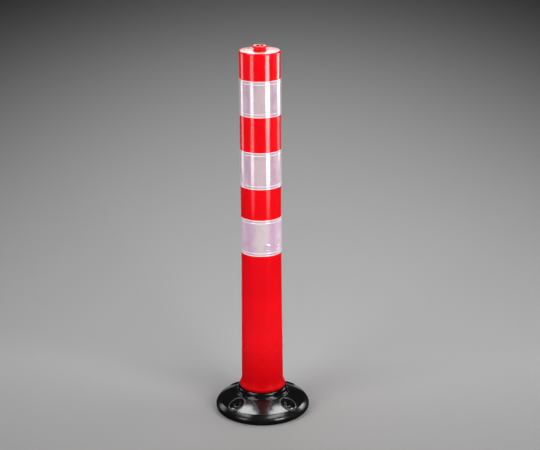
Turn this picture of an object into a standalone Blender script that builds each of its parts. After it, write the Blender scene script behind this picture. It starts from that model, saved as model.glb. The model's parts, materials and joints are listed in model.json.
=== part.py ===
"""Flexible delineator post: a springy red tube with reflective bands, bolted into a round rubber base.

Metres, +Z up. The origin is the centre of the base's underside, on the road.
The tube is split into foot, flex section and post, so that it can bend over in any direction:
the flex section turns on the base about X, and the post turns on the flex section about Y.
"""
import math

import bmesh
import bpy
from mathutils import Matrix, Vector

GAP = 0.0003                # between neighbouring pieces
SEGMENTS = 40               # facets round the large turned pieces
SMALL_SEGMENTS = 16         # facets round the fasteners

# Tube
OVERALL_HEIGHT = 0.750
TOP_FACE_Z = 0.742
TOP_EDGE_Z = 0.7408         # the top face is slightly domed
TUBE_RADIUS = 0.040
TUBE_WALL = 0.004
TUBE_SHOULDER = 0.003
TAPER_TOP_Z = 0.330         # the tube widens slightly from here down
TAPER_BOTTOM_Z = 0.072
TAPER_BOTTOM_RADIUS = 0.0419
FLEX_LENGTH = 0.090
FLEX_BOTTOM_Z = TAPER_BOTTOM_Z
FLEX_TOP_Z = FLEX_BOTTOM_Z + FLEX_LENGTH
PIVOT_Z = FLEX_BOTTOM_Z + FLEX_LENGTH / 2

# Foot of the tube, below the flex section
LIP_RADIUS = 0.0464
LIP_Z = 0.057
LIP_BOTTOM_Z = 0.0514
SKIRT_RADIUS = 0.042
FLANGE_THICKNESS = 0.006
FLANGE_INNER_RADIUS = 0.0153

# Rubber base
BASE_RADIUS = 0.095
BASE_WIDEST_Z = 0.011
BASE_FOOT_RADIUS = 0.085
DOME_TOP_Z = 0.038
DOME_CREST = (0.072, 0.0315)       # control point of the dome's curve
RIM_TOP = (0.088, 0.0228)
RIM_SHOULDER = (0.095, 0.0145)
SOCKET_FLOOR_Z = 0.030
COLLAR_SEAT_Z = 0.0357
RECESS_RADIUS = 0.050
RECESS_CEILING_Z = 0.015
DRAIN_RADIUS = 0.013

# Retaining collar
COLLAR_FLANGE_RADIUS = 0.0552
COLLAR_BEAD_RADIUS = 0.0496
COLLAR_TOP_Z = 0.0504
COLLAR_FLANGE_Z = 0.0388

# Reflective bands: (bottom, top) heights
BAND_SPANS = {"upper": (0.618, 0.688), "middle": (0.476, 0.549), "lower": (0.340, 0.4135)}
BAND_THICKNESS = 0.0006

# Top plug
PLUG_HEAD_RADIUS = 0.0135
PLUG_NECK_RADIUS = 0.01175
PLUG_SHANK_RADIUS = 0.010
PLUG_BARB_RADIUS = 0.0112
PLUG_POCKET_RADIUS = 0.008
PLUG_POCKET_DEPTH = 0.0055
PLUG_WEB_WIDTH = 0.002

# Anchor holes in the base
ANCHOR_COUNT = 4
ANCHOR_CIRCLE_RADIUS = 0.0724
ANCHOR_FIRST_ANGLE = math.radians(45)
COUNTERBORE_RADIUS = 0.0143
COUNTERBORE_FLOOR_Z = 0.0195
SLEEVE_RADIUS = 0.008
SLEEVE_BORE_RADIUS = 0.0065
SLEEVE_FLANGE_RADIUS = 0.013
SLEEVE_FLANGE_THICKNESS = 0.002
SLEEVE_BOTTOM_Z = 0.0006

# Clamp stack that holds the foot in the base: bolts, ring, plate, washers and nuts
BOLT_COUNT = 4
BOLT_CIRCLE_RADIUS = 0.026
BOLT_RADIUS = 0.004
BOLT_HEAD_RADIUS = 0.009
BOLT_HEAD_HEIGHT = 0.0045
BOLT_END_Z = 0.002
BOLT_HOLE_RADIUS = BOLT_RADIUS + 0.0004
NECK_SIDE = 0.008
NECK_HEIGHT = 0.0045
RING_THICKNESS = 0.006
RING_INNER_RADIUS = 0.016
RING_OUTER_RADIUS = 0.037
PLATE_THICKNESS = 0.003
PLATE_INNER_RADIUS = 0.016
PLATE_OUTER_RADIUS = 0.042
WASHER_THICKNESS = 0.0016
WASHER_RADIUS = 0.008
NUT_HEIGHT = 0.0065
NUT_ACROSS_FLATS = 0.013
NUT_CHAMFER = 0.0008

# The clamp stack's heights follow from the base's, piece by piece
FOOT_BOTTOM_Z = SOCKET_FLOOR_Z + GAP
FOOT_FLANGE_TOP_Z = FOOT_BOTTOM_Z + FLANGE_THICKNESS
RING_BOTTOM_Z = FOOT_FLANGE_TOP_Z + GAP
BOLT_HEAD_Z = RING_BOTTOM_Z + RING_THICKNESS + GAP
PLATE_TOP_Z = RECESS_CEILING_Z - GAP
WASHER_TOP_Z = PLATE_TOP_Z - PLATE_THICKNESS - GAP
NUT_TOP_Z = WASHER_TOP_Z - WASHER_THICKNESS - GAP


def remove_everything():
    for obj in list(bpy.data.objects):
        bpy.data.objects.remove(obj, do_unlink=True)


def new_collection(name):
    collection = bpy.data.collections.new(name)
    bpy.context.scene.collection.children.link(collection)
    return collection


def new_material(name, color, roughness, metallic=0.0):
    material = bpy.data.materials.new(name)
    material.use_nodes = True
    shader = material.node_tree.nodes["Principled BSDF"]
    shader.inputs["Base Color"].default_value = (*color, 1.0)
    shader.inputs["Roughness"].default_value = roughness
    shader.inputs["Metallic"].default_value = metallic
    return material


def arc(center, radius, start, end, count):
    """Points on a circle's arc in the (r, z) plane, from start to end degrees, both included."""
    points = []
    for i in range(count):
        angle = math.radians(start + (end - start) * i / (count - 1))
        points.append((center[0] + radius * math.cos(angle), center[1] + radius * math.sin(angle)))
    return points


def curve(start, control, end, count):
    """Points on a quadratic curve in the (r, z) plane, both ends included."""
    points = []
    for i in range(count):
        t = i / (count - 1)
        a, b, c = (1 - t) ** 2, 2 * t * (1 - t), t ** 2
        points.append(tuple(a * p + b * q + c * s for p, q, s in zip(start, control, end)))
    return points


def tube_radius(z):
    """Outer radius of the tube above its foot: straight, then a slight taper that widens downwards."""
    if z >= TAPER_TOP_Z:
        return TUBE_RADIUS
    share = (TAPER_TOP_Z - z) / (TAPER_TOP_Z - TAPER_BOTTOM_Z)
    return TUBE_RADIUS + share * (TAPER_BOTTOM_RADIUS - TUBE_RADIUS)


def add_object(name, mesh, collection, material=None):
    obj = bpy.data.objects.new(name, mesh)
    collection.objects.link(obj)
    if material:
        mesh.materials.clear()
        mesh.materials.append(material)
    return obj


def smooth(mesh):
    mesh.shade_smooth()
    mesh.set_sharp_from_angle(angle=math.radians(35))


def turned(name, outline, collection, material=None, segments=SEGMENTS):
    """Spins an (r, z) outline about Z. An outline that starts and ends on the axis stays open there."""
    on_axis = outline[0][0] < 1e-9
    mesh = bpy.data.meshes.new(name)
    edges = [(i, i + 1) for i in range(len(outline) - 1)]
    if not on_axis:
        edges.append((len(outline) - 1, 0))
    mesh.from_pydata([(r, 0.0, z) for r, z in outline], edges, [])
    obj = add_object(name, mesh, collection, material)
    screw = obj.modifiers.new("Turned", "SCREW")
    screw.axis = "Z"
    screw.angle = math.tau
    screw.steps = segments
    screw.render_steps = segments
    screw.use_merge_vertices = True
    screw.merge_threshold = 1e-5
    screw.use_smooth_shade = True
    return obj


def baked(obj):
    """The object's evaluated mesh. The object itself is removed."""
    bpy.context.view_layer.update()
    evaluated = obj.evaluated_get(bpy.context.evaluated_depsgraph_get())
    mesh = bpy.data.meshes.new_from_object(evaluated)
    bpy.data.objects.remove(obj, do_unlink=True)
    smooth(mesh)
    return mesh


def cutter_object(name, bm, collection):
    mesh = bpy.data.meshes.new(name)
    bm.to_mesh(mesh)
    bm.free()
    obj = add_object(name, mesh, collection)
    as_guide(obj)
    return obj


def as_guide(obj):
    obj.hide_render = True
    obj.display_type = "WIRE"


def cylinders(name, places, radius, bottom, top, collection, segments=SMALL_SEGMENTS):
    """One cutter of separate upright cylinders, one at each (x, y) place."""
    bm = bmesh.new()
    for x, y in places:
        middle = Matrix.Translation((x, y, (bottom + top) / 2))
        bmesh.ops.create_cone(bm, cap_ends=True, segments=segments, radius1=radius, radius2=radius,
                              depth=top - bottom, matrix=middle)
    return cutter_object(name, bm, collection)


def blocks(name, places, size, bottom, top, collection):
    """One cutter of separate upright blocks of size (x, y), one at each (x, y) place."""
    bm = bmesh.new()
    for x, y in places:
        middle = Matrix.Translation((x, y, (bottom + top) / 2))
        scale = Matrix.Diagonal((size[0], size[1], top - bottom, 1.0))
        bmesh.ops.create_cube(bm, size=1.0, matrix=middle @ scale)
    return cutter_object(name, bm, collection)


def combine(obj, other, operation):
    boolean = obj.modifiers.new(operation.title(), "BOOLEAN")
    boolean.operation = operation
    boolean.solver = "EXACT"
    boolean.object = other


def circle_places(count, radius, first_angle=0.0):
    """(x, y) places evenly spaced on a circle."""
    angles = [first_angle + math.tau * i / count for i in range(count)]
    return [(radius * math.cos(a), radius * math.sin(a)) for a in angles]


def hang_from(pivot, obj):
    """Parents an object to the pivot it turns on, and leaves it in its place."""
    obj.parent = pivot
    obj.location = Vector(obj.location) - Vector((0.0, 0.0, PIVOT_Z))


def make_pivots(collection):
    """Two crossed hinges in the middle of the flex section."""
    front_back = bpy.data.objects.new("bend_front_back_axis", None)
    sideways = bpy.data.objects.new("bend_sideways_axis", None)
    for pivot in (front_back, sideways):
        pivot.empty_display_size = 0.03
        collection.objects.link(pivot)
    front_back.location = (0.0, 0.0, PIVOT_Z)
    sideways.parent = front_back
    return front_back, sideways


def make_base(parts, cutters, material, anchor_places, bolt_places):
    outline = curve((COLLAR_FLANGE_RADIUS + GAP, DOME_TOP_Z), DOME_CREST, RIM_TOP, 6)
    outline += curve(RIM_TOP, RIM_SHOULDER, (BASE_RADIUS, BASE_WIDEST_Z), 5)[1:]
    outline += curve((BASE_RADIUS, BASE_WIDEST_Z), (BASE_RADIUS, 0.0), (BASE_FOOT_RADIUS, 0.0), 5)[1:]
    outline += [
        (RECESS_RADIUS, 0.0),
        (RECESS_RADIUS, RECESS_CEILING_Z),
        (DRAIN_RADIUS, RECESS_CEILING_Z),
        (DRAIN_RADIUS, SOCKET_FLOOR_Z),
        (SKIRT_RADIUS + 2 * GAP, SOCKET_FLOOR_Z),
        (SKIRT_RADIUS + 2 * GAP, COLLAR_SEAT_Z),
        (COLLAR_FLANGE_RADIUS + GAP, COLLAR_SEAT_Z),
    ]
    base = turned("rubber_base", outline, parts, material)
    combine(base, cylinders("counterbores", anchor_places, COUNTERBORE_RADIUS, COUNTERBORE_FLOOR_Z,
                            OVERALL_HEIGHT / 10, cutters, 24), "DIFFERENCE")
    combine(base, cylinders("anchor_holes", anchor_places, SLEEVE_RADIUS + GAP, -0.01, 0.03, cutters, 20),
            "DIFFERENCE")
    combine(base, cylinders("base_bolt_holes", bolt_places, BOLT_HOLE_RADIUS, 0.01, 0.04, cutters), "DIFFERENCE")


def make_collar(parts, material):
    inner = SKIRT_RADIUS + 2 * GAP
    bead = 0.0036
    bead_center = (COLLAR_BEAD_RADIUS - bead, COLLAR_TOP_Z - bead)
    outline = [(inner, COLLAR_TOP_Z - 0.001), (inner + 0.001, COLLAR_TOP_Z)]
    outline += arc(bead_center, bead, 90, 0, 5)
    outline += curve((COLLAR_BEAD_RADIUS, 0.0435), (COLLAR_BEAD_RADIUS + 0.0006, COLLAR_FLANGE_Z + 0.0006),
                     (COLLAR_FLANGE_RADIUS - 0.0008, COLLAR_FLANGE_Z), 4)
    outline += [
        (COLLAR_FLANGE_RADIUS, COLLAR_FLANGE_Z - 0.0008),
        (COLLAR_FLANGE_RADIUS, COLLAR_SEAT_Z + GAP),
        (inner, COLLAR_SEAT_Z + GAP),
    ]
    turned("retaining_collar", outline, parts, material)


def make_foot(parts, cutters, material, bolt_places):
    top = FLEX_BOTTOM_Z - GAP
    inner = TAPER_BOTTOM_RADIUS - TUBE_WALL
    outline = curve((TAPER_BOTTOM_RADIUS, top), (TAPER_BOTTOM_RADIUS + 0.0003, LIP_Z + 0.007),
                    (LIP_RADIUS, LIP_Z), 5)
    outline += curve((LIP_RADIUS, LIP_Z), (LIP_RADIUS + 0.0002, LIP_BOTTOM_Z), (LIP_RADIUS - 0.002, LIP_BOTTOM_Z),
                     4)[1:]
    outline += [
        (SKIRT_RADIUS, LIP_BOTTOM_Z),
        (SKIRT_RADIUS, FOOT_BOTTOM_Z),
        (FLANGE_INNER_RADIUS, FOOT_BOTTOM_Z),
        (FLANGE_INNER_RADIUS, FOOT_FLANGE_TOP_Z),
        (inner, FOOT_FLANGE_TOP_Z),
        (inner, top),
    ]
    foot = turned("post_foot", outline, parts, material)
    combine(foot, cylinders("foot_bolt_holes", bolt_places, BOLT_HOLE_RADIUS, 0.02, 0.038, cutters), "DIFFERENCE")


def make_flex_section(parts, material):
    bottom, top = FLEX_BOTTOM_Z, FLEX_TOP_Z - GAP
    outline = [(tube_radius(z), z) for z in (top, PIVOT_Z, bottom)]
    outline += [(r - TUBE_WALL, z) for r, z in reversed(outline)]
    return turned("flex_section", outline, parts, material)


def make_post_tube(parts, material):
    hole = PLUG_SHANK_RADIUS + GAP
    inner_top = TOP_FACE_Z - TUBE_WALL
    edge = TUBE_RADIUS - TUBE_SHOULDER
    outline = curve((hole, TOP_FACE_Z), (edge / 2, TOP_FACE_Z), (edge, TOP_EDGE_Z), 4)
    outline += arc((edge, TOP_EDGE_Z - TUBE_SHOULDER), TUBE_SHOULDER, 90, 0, 4)[1:]
    outline += [(tube_radius(z), z) for z in (TAPER_TOP_Z, FLEX_TOP_Z)]
    outline += [(tube_radius(z) - TUBE_WALL, z) for z in (FLEX_TOP_Z, TAPER_TOP_Z)]
    outline += [(TUBE_RADIUS - TUBE_WALL, inner_top), (hole, inner_top)]
    return turned("post_tube", outline, parts, material)


def make_bands(parts, material):
    inner = TUBE_RADIUS + GAP
    outer = inner + BAND_THICKNESS
    bands = []
    for name, (bottom, top) in BAND_SPANS.items():
        outline = [(inner, top), (outer, top), (outer, bottom), (inner, bottom)]
        bands.append(turned(f"reflective_band_{name}", outline, parts, material))
    return bands


def make_plug(parts, cutters, material):
    """A push-in plug: shallow mushroom head, barbed shank, and a pocket with a web across it."""
    pocket_floor = OVERALL_HEIGHT - PLUG_POCKET_DEPTH
    head_bottom = OVERALL_HEIGHT - 0.004
    seat = TOP_FACE_Z + GAP
    barb = TOP_FACE_Z - TUBE_WALL - GAP
    outline = [(0.0, pocket_floor), (PLUG_POCKET_RADIUS, pocket_floor)]
    outline += [(PLUG_POCKET_RADIUS, OVERALL_HEIGHT - 0.0006), (PLUG_POCKET_RADIUS + 0.0006, OVERALL_HEIGHT)]
    outline += arc((PLUG_HEAD_RADIUS - 0.0014, OVERALL_HEIGHT - 0.0014), 0.0014, 90, 0, 3)
    outline += [
        (PLUG_HEAD_RADIUS, head_bottom),
        (PLUG_NECK_RADIUS, head_bottom - 0.0012),
        (PLUG_NECK_RADIUS, seat),
        (PLUG_SHANK_RADIUS, seat),
        (PLUG_SHANK_RADIUS, barb),
        (PLUG_BARB_RADIUS, barb),
        (PLUG_BARB_RADIUS, barb - 0.0015),
        (PLUG_BARB_RADIUS - 0.002, barb - 0.007),
        (0.0, barb - 0.007),
    ]
    plug = turned("top_plug", outline, parts, material, 32)
    web_length = 2 * PLUG_POCKET_RADIUS + 0.001
    web = blocks("plug_web", [(0.0, 0.0)], (PLUG_WEB_WIDTH, web_length), pocket_floor - 0.001,
                 OVERALL_HEIGHT - 0.001, cutters)
    combine(plug, web, "UNION")
    return plug


def make_clamp_ring(parts, cutters, material, bolt_places):
    top = RING_BOTTOM_Z + RING_THICKNESS
    outline = [(RING_INNER_RADIUS, top), (RING_OUTER_RADIUS, top)]
    outline += [(RING_OUTER_RADIUS, RING_BOTTOM_Z), (RING_INNER_RADIUS, RING_BOTTOM_Z)]
    ring = turned("clamp_ring", outline, parts, material)
    side = NECK_SIDE + 2 * GAP
    holes = blocks("square_holes", bolt_places, (side, side), RING_BOTTOM_Z - 0.002, top + 0.002, cutters)
    combine(ring, holes, "DIFFERENCE")


def make_backing_plate(parts, cutters, material, bolt_places):
    bottom = PLATE_TOP_Z - PLATE_THICKNESS
    outline = [(PLATE_INNER_RADIUS, PLATE_TOP_Z), (PLATE_OUTER_RADIUS, PLATE_TOP_Z)]
    outline += [(PLATE_OUTER_RADIUS, bottom), (PLATE_INNER_RADIUS, bottom)]
    plate = turned("backing_plate", outline, parts, material)
    holes = cylinders("plate_holes", bolt_places, BOLT_HOLE_RADIUS, bottom - 0.002, PLATE_TOP_Z + 0.002, cutters)
    combine(plate, holes, "DIFFERENCE")


def bolt_mesh(cutters):
    """A carriage bolt: domed head, square neck that the ring holds, round shank."""
    outline = curve((0.0, BOLT_HEAD_Z + BOLT_HEAD_HEIGHT), (BOLT_HEAD_RADIUS * 0.75, BOLT_HEAD_Z + BOLT_HEAD_HEIGHT),
                    (BOLT_HEAD_RADIUS, BOLT_HEAD_Z), 4)
    outline += [(BOLT_RADIUS, BOLT_HEAD_Z), (BOLT_RADIUS, BOLT_END_Z + 0.001)]
    outline += [(BOLT_RADIUS - 0.001, BOLT_END_Z), (0.0, BOLT_END_Z)]
    bolt = turned("bolt_blank", outline, cutters, None, SMALL_SEGMENTS)
    neck = blocks("bolt_neck", [(0.0, 0.0)], (NECK_SIDE, NECK_SIDE), BOLT_HEAD_Z - NECK_HEIGHT,
                  BOLT_HEAD_Z + 0.001, cutters)
    combine(bolt, neck, "UNION")
    return baked(bolt)


def washer_mesh(cutters):
    bottom = WASHER_TOP_Z - WASHER_THICKNESS
    outline = [(BOLT_HOLE_RADIUS, WASHER_TOP_Z), (WASHER_RADIUS, WASHER_TOP_Z)]
    outline += [(WASHER_RADIUS, bottom), (BOLT_HOLE_RADIUS, bottom)]
    return baked(turned("washer_blank", outline, cutters, None, SMALL_SEGMENTS))


def nut_mesh(cutters):
    """A hexagon nut with its corners chamfered: a turned blank cut to six sides."""
    corner = NUT_ACROSS_FLATS / 2 / math.cos(math.radians(30))
    bottom = NUT_TOP_Z - NUT_HEIGHT
    bore = BOLT_RADIUS + GAP
    outline = [(bore, NUT_TOP_Z), (corner - NUT_CHAMFER, NUT_TOP_Z), (corner + GAP, NUT_TOP_Z - NUT_CHAMFER)]
    outline += [(corner + GAP, bottom + NUT_CHAMFER), (corner - NUT_CHAMFER, bottom), (bore, bottom)]
    nut = turned("nut_blank", outline, cutters, None, SMALL_SEGMENTS)
    hexagon = cylinders("nut_hexagon", [(0.0, 0.0)], corner, bottom - 0.001, NUT_TOP_Z + 0.001, cutters, 6)
    combine(nut, hexagon, "INTERSECT")
    return baked(nut)


def sleeve_mesh(cutters):
    """A flanged steel sleeve that lines an anchor hole."""
    seat = COUNTERBORE_FLOOR_Z + GAP
    top = seat + SLEEVE_FLANGE_THICKNESS
    outline = [(SLEEVE_BORE_RADIUS, top), (SLEEVE_FLANGE_RADIUS, top), (SLEEVE_FLANGE_RADIUS, seat)]
    outline += [(SLEEVE_RADIUS, seat), (SLEEVE_RADIUS, SLEEVE_BOTTOM_Z), (SLEEVE_BORE_RADIUS, SLEEVE_BOTTOM_Z)]
    return baked(turned("sleeve_blank", outline, cutters, None, 20))


def place_copies(name, mesh, places, parts, material):
    """One object for each place, all sharing one mesh."""
    for i, (x, y) in enumerate(places):
        obj = add_object(f"{name}_{i + 1}", mesh, parts, material)
        obj.location = (x, y, 0.0)


def build():
    remove_everything()
    parts = new_collection("delineator_post")
    cutters = new_collection("cutters")
    red_plastic = new_material("red_plastic", (0.80, 0.006, 0.012), 0.25)
    reflective_film = new_material("reflective_film", (0.68, 0.62, 0.70), 0.30)
    black_rubber = new_material("black_rubber", (0.012, 0.012, 0.013), 0.35)
    zinc_steel = new_material("zinc_steel", (0.55, 0.55, 0.56), 0.35, 1.0)

    anchor_places = circle_places(ANCHOR_COUNT, ANCHOR_CIRCLE_RADIUS, ANCHOR_FIRST_ANGLE)
    bolt_places = circle_places(BOLT_COUNT, BOLT_CIRCLE_RADIUS)
    front_back, sideways = make_pivots(parts)

    make_base(parts, cutters, black_rubber, anchor_places, bolt_places)
    make_collar(parts, black_rubber)
    make_foot(parts, cutters, red_plastic, bolt_places)
    make_clamp_ring(parts, cutters, zinc_steel, bolt_places)
    make_backing_plate(parts, cutters, zinc_steel, bolt_places)
    place_copies("anchor_sleeve", sleeve_mesh(cutters), anchor_places, parts, zinc_steel)
    place_copies("foot_bolt", bolt_mesh(cutters), bolt_places, parts, zinc_steel)
    place_copies("foot_washer", washer_mesh(cutters), bolt_places, parts, zinc_steel)
    place_copies("foot_nut", nut_mesh(cutters), bolt_places, parts, zinc_steel)

    hang_from(front_back, make_flex_section(parts, red_plastic))
    hang_from(sideways, make_post_tube(parts, red_plastic))
    hang_from(sideways, make_plug(parts, cutters, red_plastic))
    for band in make_bands(parts, reflective_film):
        hang_from(sideways, band)


build()
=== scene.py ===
"""Looks of the delineator post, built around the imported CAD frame. Metres, +Z up."""
import json
import math

import bmesh
import bpy
import numpy as np
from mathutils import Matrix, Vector, noise
from mathutils.geometry import delaunay_2d_cdt


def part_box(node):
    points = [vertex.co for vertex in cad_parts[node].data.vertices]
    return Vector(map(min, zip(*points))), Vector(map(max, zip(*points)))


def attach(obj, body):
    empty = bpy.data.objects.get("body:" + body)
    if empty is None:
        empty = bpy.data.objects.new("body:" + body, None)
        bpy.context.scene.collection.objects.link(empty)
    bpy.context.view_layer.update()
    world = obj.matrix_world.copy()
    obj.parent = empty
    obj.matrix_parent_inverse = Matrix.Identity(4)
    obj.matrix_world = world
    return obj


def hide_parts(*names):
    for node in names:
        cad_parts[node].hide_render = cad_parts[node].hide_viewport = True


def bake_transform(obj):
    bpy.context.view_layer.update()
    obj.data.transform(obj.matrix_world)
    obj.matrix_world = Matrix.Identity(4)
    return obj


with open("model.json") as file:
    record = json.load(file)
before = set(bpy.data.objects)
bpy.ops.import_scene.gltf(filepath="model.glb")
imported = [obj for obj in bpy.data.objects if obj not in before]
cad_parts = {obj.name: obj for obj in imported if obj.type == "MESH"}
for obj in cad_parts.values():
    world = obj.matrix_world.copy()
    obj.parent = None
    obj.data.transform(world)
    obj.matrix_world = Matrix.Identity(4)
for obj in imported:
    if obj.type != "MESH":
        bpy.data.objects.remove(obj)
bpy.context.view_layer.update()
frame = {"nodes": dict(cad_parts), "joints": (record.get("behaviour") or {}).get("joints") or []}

MM = 0.001
GAP = 0.3 * MM  # left between pieces that would touch
WELD_DISTANCE = 2e-6
SAME_PLACE = 1e-7

# ---------------------------------------------------------------- sizes, read from the frame


def widest(node, above):
    """Largest radius of a CAD node above a height."""
    vertices = frame["nodes"][node].data.vertices
    return max(math.hypot(v.co.x, v.co.y) for v in vertices if v.co.z > above)


def centre_of(node):
    low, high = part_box(node)
    return (low + high) / 2


base_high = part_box("rubber_base")[1]
tube_low, tube_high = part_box("post_tube")
flex_low, flex_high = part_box("flex_section")
foot_low, foot_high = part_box("post_foot")
collar_low, collar_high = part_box("retaining_collar")
plug_low, plug_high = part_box("top_plug")

TOP_Z = tube_high.z
TAPER_BOTTOM_Z = flex_low.z
FLEX_TOP_Z = tube_low.z
PIVOT_Z = next(j["pos_m"][2] for j in frame["joints"] if j["name"] == "bend_sideways")
TUBE_RADIUS = widest("post_tube", TOP_Z - 10 * MM)
TAPER_BOTTOM_RADIUS = flex_high.x
TAPER_TOP_Z = 330 * MM
WALL = 4 * MM
ANCHORS = [centre_of(f"anchor_sleeve_{i}").xy for i in range(1, 5)]
COUNTERBORE_RADIUS = 14.3 * MM
BOLTS = [centre_of(f"foot_bolt_{i}").xy for i in range(1, 5)]
BOLT_HOLE_RADIUS = 4.4 * MM
SOCKET_RADIUS = 42.6 * MM  # bore of the collar and of the base's socket, clear of the tube's skirt

# ---------------------------------------------------------------- outlines in the (r, z) plane


def arc(center, radius, start, end, count):
    """Points on a circle's arc from start to end degrees, both included."""
    angles = [math.radians(start + (end - start) * i / (count - 1)) for i in range(count)]
    return [(center[0] + radius * math.cos(a), center[1] + radius * math.sin(a)) for a in angles]


def curve(start, control, end, count):
    """Points on a quadratic curve, both ends included."""
    points = []
    for i in range(count):
        t = i / (count - 1)
        weights = ((1 - t) ** 2, 2 * t * (1 - t), t * t)
        corners = list(zip(weights, (start, control, end)))
        points.append(tuple(sum(w * p[k] for w, p in corners) for k in (0, 1)))
    return points


def line(start, end, step):
    """Points on a straight line, about step apart, both ends included."""
    count = max(1, round(math.dist(start, end) / step))
    return [tuple(a + (b - a) * i / count for a, b in zip(start, end)) for i in range(count + 1)]


def joined(*stretches):
    """One outline from stretches. A point that ends one stretch and starts the next is kept once."""
    points = list(stretches[0])
    for stretch in stretches[1:]:
        points += stretch[1:] if math.dist(points[-1], stretch[0]) < SAME_PLACE else stretch
    return points


def tube_radius(z):
    """Outer radius of the tube, which widens in a straight taper towards its foot."""
    if z >= TAPER_TOP_Z:
        return TUBE_RADIUS
    share = (TAPER_TOP_Z - z) / (TAPER_TOP_Z - TAPER_BOTTOM_Z)
    return TUBE_RADIUS + share * (TAPER_BOTTOM_RADIUS - TUBE_RADIUS)


# ---------------------------------------------------------------- mesh helpers


def add_object(name, data):
    obj = bpy.data.objects.new(name, data)
    bpy.context.scene.collection.objects.link(obj)
    return obj


def shade(mesh, sharp):
    """Smooth shading, with hard edges where faces meet at more than sharp degrees."""
    mesh.shade_smooth()
    mesh.set_sharp_from_angle(angle=math.radians(sharp))


def finish_mesh(name, bm, material, sharp=40):
    """Turns a bmesh into an object with welded, outward-facing, smooth-shaded faces."""
    bmesh.ops.remove_doubles(bm, verts=bm.verts, dist=WELD_DISTANCE)
    bmesh.ops.recalc_face_normals(bm, faces=bm.faces)
    mesh = bpy.data.meshes.new(name)
    bm.to_mesh(mesh)
    bm.free()
    mesh.materials.append(material)
    shade(mesh, sharp)
    return add_object(name, mesh)


def combine(obj, operation, guide):
    """Joins obj and guide into one surface, or cuts obj down to guide. The guide is removed."""
    modifier = obj.modifiers.new("Combine", "BOOLEAN")
    modifier.operation = operation
    modifier.object = guide
    bpy.context.view_layer.update()
    evaluated = obj.evaluated_get(bpy.context.evaluated_depsgraph_get())
    mesh = bpy.data.meshes.new_from_object(evaluated)
    obj.modifiers.clear()
    obj.data = mesh
    shade(mesh, 35)
    bpy.data.objects.remove(guide)


def bridge(bm, upper, lower):
    """Quads between two closed rings with as many vertices. A one-vertex ring makes a fan."""
    count = max(len(upper), len(lower))
    for i in range(count):
        j = (i + 1) % count
        corners = (upper, i), (lower, i), (lower, j), (upper, j)
        unique = list(dict.fromkeys(ring[k % len(ring)] for ring, k in corners))
        if len(unique) > 2:
            bm.faces.new(unique)


def spin(bm, outline, segments, closed=False, offset=None):
    """Spins an outline about Z.

    offset(angle, z) adds to the radius, for shapes that aren't perfectly round.
    """
    rings = []
    for r, z in outline:
        if r < SAME_PLACE:
            rings.append([bm.verts.new((0.0, 0.0, z))])
            continue
        ring = []
        for i in range(segments):
            a = math.tau * i / segments
            radius = r + (offset(a, z) if offset else 0.0)
            ring.append(bm.verts.new((radius * math.cos(a), radius * math.sin(a), z)))
        rings.append(ring)
    pairs = list(zip(rings, rings[1:]))
    if closed:
        pairs.append((rings[-1], rings[0]))
    for upper, lower in pairs:
        bridge(bm, upper, lower)


def block(bm, width, depth, low, high):
    """A box about the Z axis, from height low to height high."""
    bmesh.ops.create_cube(bm, size=1.0)
    for v in bm.verts:
        v.co = Vector((v.co.x * width, v.co.y * depth, high if v.co.z > 0 else low))


def ease(t):
    """0 to 1, slow at both ends."""
    return t * t * (3 - 2 * t)


def circle(center, radius, count):
    angles = [math.tau * i / count for i in range(count)]
    return [(center[0] + radius * math.cos(a), center[1] + radius * math.sin(a)) for a in angles]


def square(center, half):
    x, y = center
    return [(x - half, y - half), (x + half, y - half), (x + half, y + half), (x - half, y + half)]


def inside(point, loop):
    """True if the point is inside the closed loop of points."""
    x, y = point
    hit = False
    for (x0, y0), (x1, y1) in zip(loop, loop[1:] + loop[:1]):
        if (y0 > y) != (y1 > y) and x < x0 + (y - y0) * (x1 - x0) / (y1 - y0):
            hit = not hit
    return hit


def height_at(height, x, y):
    """A height given as a number, or as a function of (x, y)."""
    return height(x, y) if callable(height) else height


def sheet_with_holes(bm, outer, inner, holes, height, filler=()):
    """A sheet between two loops, with holes, at a height that may vary. filler adds points to it."""
    points, edges = [], []
    for loop in (outer, inner, *holes):
        first = len(points)
        points += loop
        edges += [(first + i, first + (i + 1) % len(loop)) for i in range(len(loop))]
    points += filler
    flat, _, faces = delaunay_2d_cdt([Vector(p) for p in points], edges, [], 0, 1e-8)[:3]
    verts = [bm.verts.new((p.x, p.y, height_at(height, p.x, p.y))) for p in flat]
    for face in faces:
        middle = sum((flat[i] for i in face), Vector((0.0, 0.0))) / len(face)
        if not any(inside(middle, loop) for loop in (inner, *holes)) and inside(middle, outer):
            bm.faces.new([verts[i] for i in face])
    for v in verts:
        if not v.link_faces:
            bm.verts.remove(v)


def wall(bm, loop, top, bottom, levels=1):
    """An upright wall along a loop, between two heights that may vary."""
    rings = []
    for i in range(levels + 1):
        ring = []
        for x, y in loop:
            high, low = height_at(top, x, y), height_at(bottom, x, y)
            ring.append(bm.verts.new((x, y, high + (low - high) * (i / levels))))
        rings.append(ring)
    for upper, lower in zip(rings, rings[1:]):
        bridge(bm, upper, lower)


# ---------------------------------------------------------------- materials

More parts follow.
